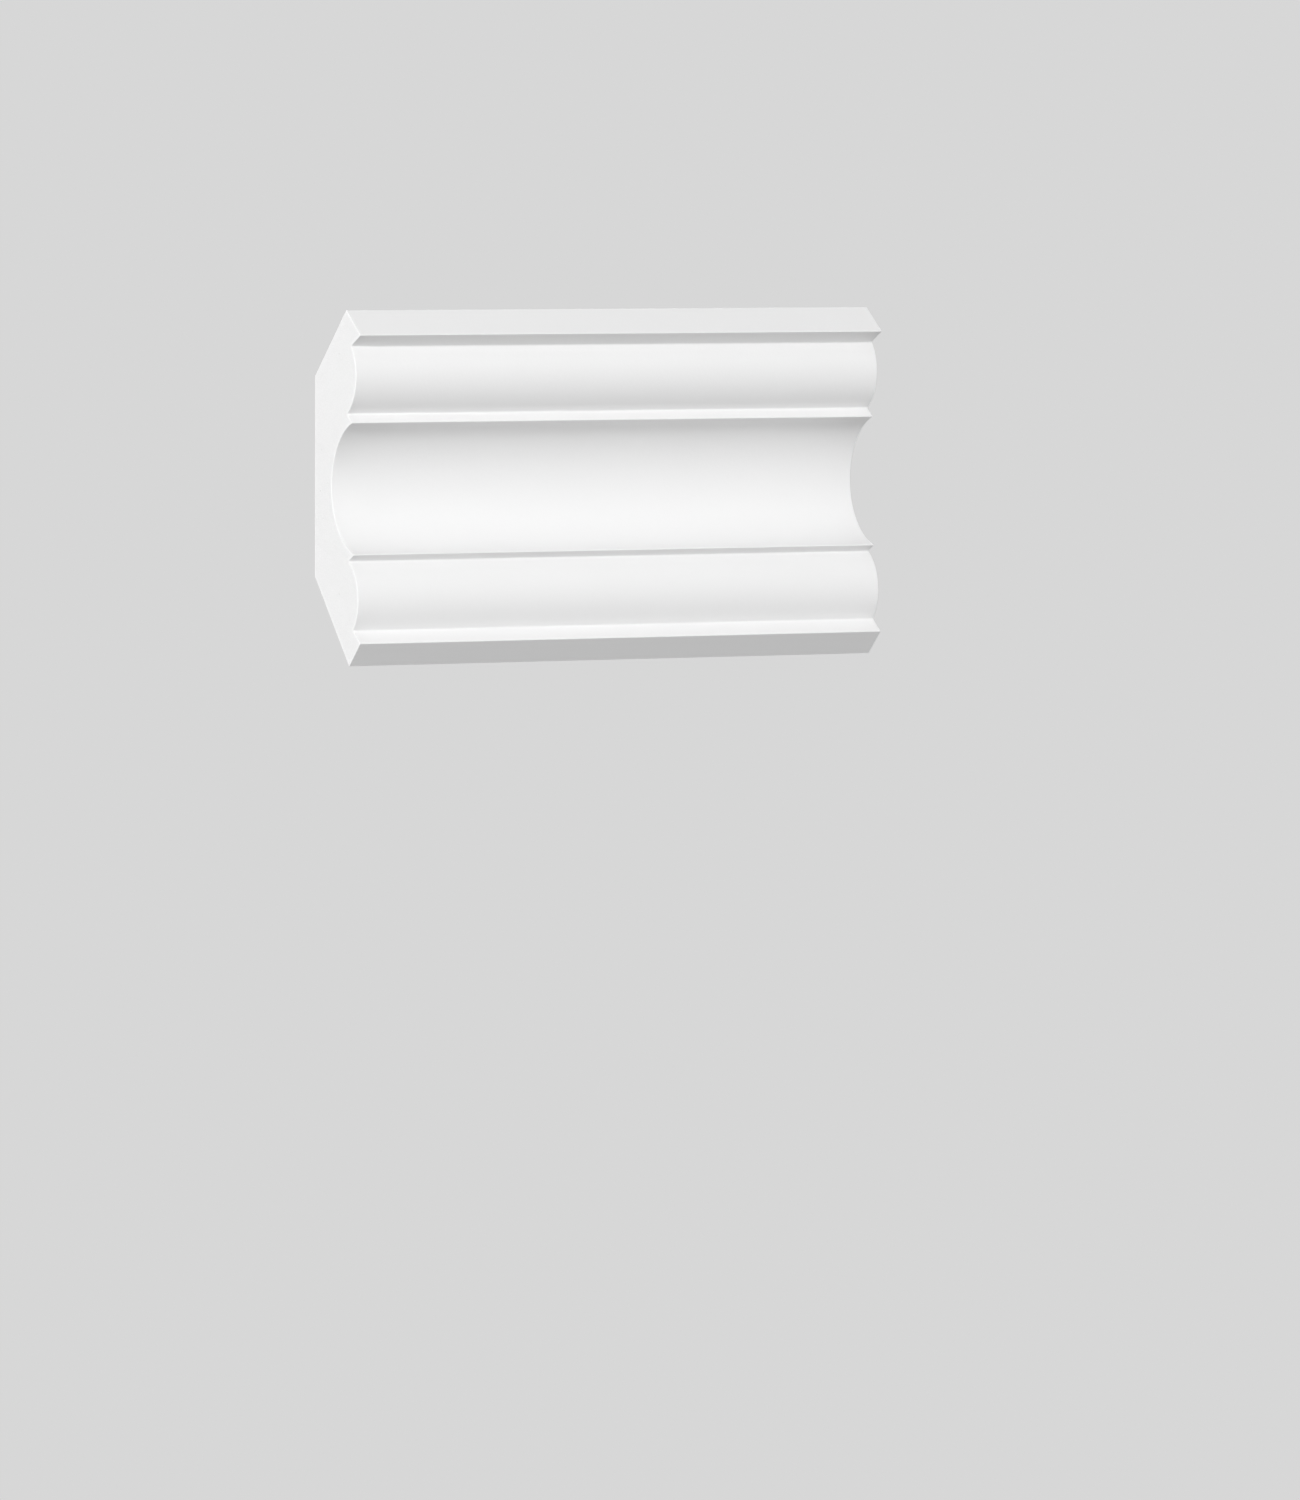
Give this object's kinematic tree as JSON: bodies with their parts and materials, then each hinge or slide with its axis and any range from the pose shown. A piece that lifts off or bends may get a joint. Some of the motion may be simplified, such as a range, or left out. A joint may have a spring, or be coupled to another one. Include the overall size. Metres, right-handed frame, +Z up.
{
  "type": "crown moulding length",
  "caption": "Length of crown moulding with a deep cove between ovolos and fillets, square-cut ends and a bevelled back, fixed where a wall meets a ceiling.",
  "frame": {"origin": "middle of the flat face that lies on the wall, half-way along the length", "axes": "+X along the length, to the right for someone in the room facing the wall; +Y into the wall; +Z up to the ceiling"},
  "size_m": [0.2, 0.0826, 0.09],
  "materials": {
    "paint": "rigid foam moulding with a smooth white satin primer, bare fine-celled foam at the cut ends"
  },
  "bodies": {
    "root": {"crown_moulding": "paint"}
  },
  "joints": []
}
